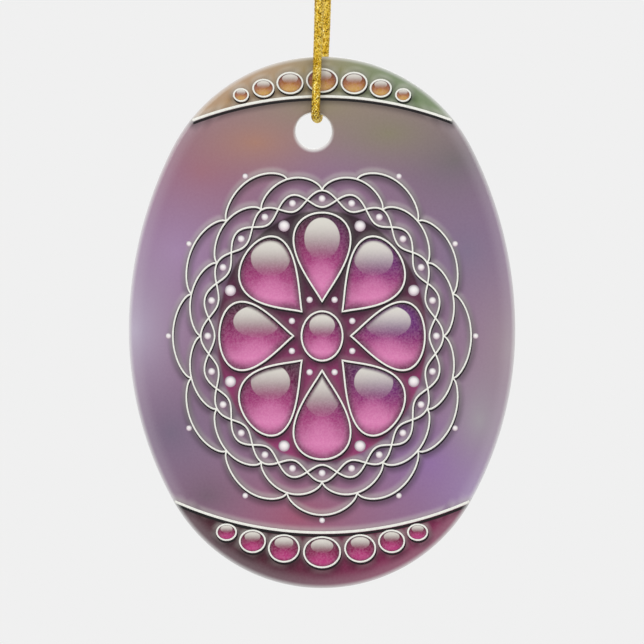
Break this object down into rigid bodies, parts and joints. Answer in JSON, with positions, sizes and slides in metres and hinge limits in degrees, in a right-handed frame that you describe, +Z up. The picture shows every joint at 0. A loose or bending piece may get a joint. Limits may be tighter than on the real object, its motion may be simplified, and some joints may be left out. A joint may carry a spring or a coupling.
{
  "type": "hanging oval ornament",
  "caption": "Flat oval glazed porcelain ornament with a printed front, hung by a metallic cord loop through a hole near its top.",
  "frame": {"origin": "where a hook or bar carries the cord loop, midway between its two strands and just under the knot", "axes": "+Z up, +X to the right seen from the front, and the printed front faces -Y"},
  "size_m": [0.064, 0.0064, 0.1177],
  "materials": {
    "porcelain": "white glaze, gloss",
    "print": "colour print under a gloss coat",
    "metallic_braid": "gold metallic braid",
    "yarn": "plain yarn"
  },
  "bodies": {
    "cord": {"cord_sheath": "metallic_braid", "cord_core": "yarn", "cord_knot": "metallic_braid", "cord_tails": "metallic_braid"},
    "ornament": {"ceramic_plate": "porcelain", "front_print": "print"}
  },
  "joints": [
    {"name": "ornament_swing", "type": "hinge", "parent": "cord", "child": "ornament", "pos_m": [-0.0014, 0, -0.028], "axis": [0, 1, 0], "range_deg": [-90, 90]}
  ]
}
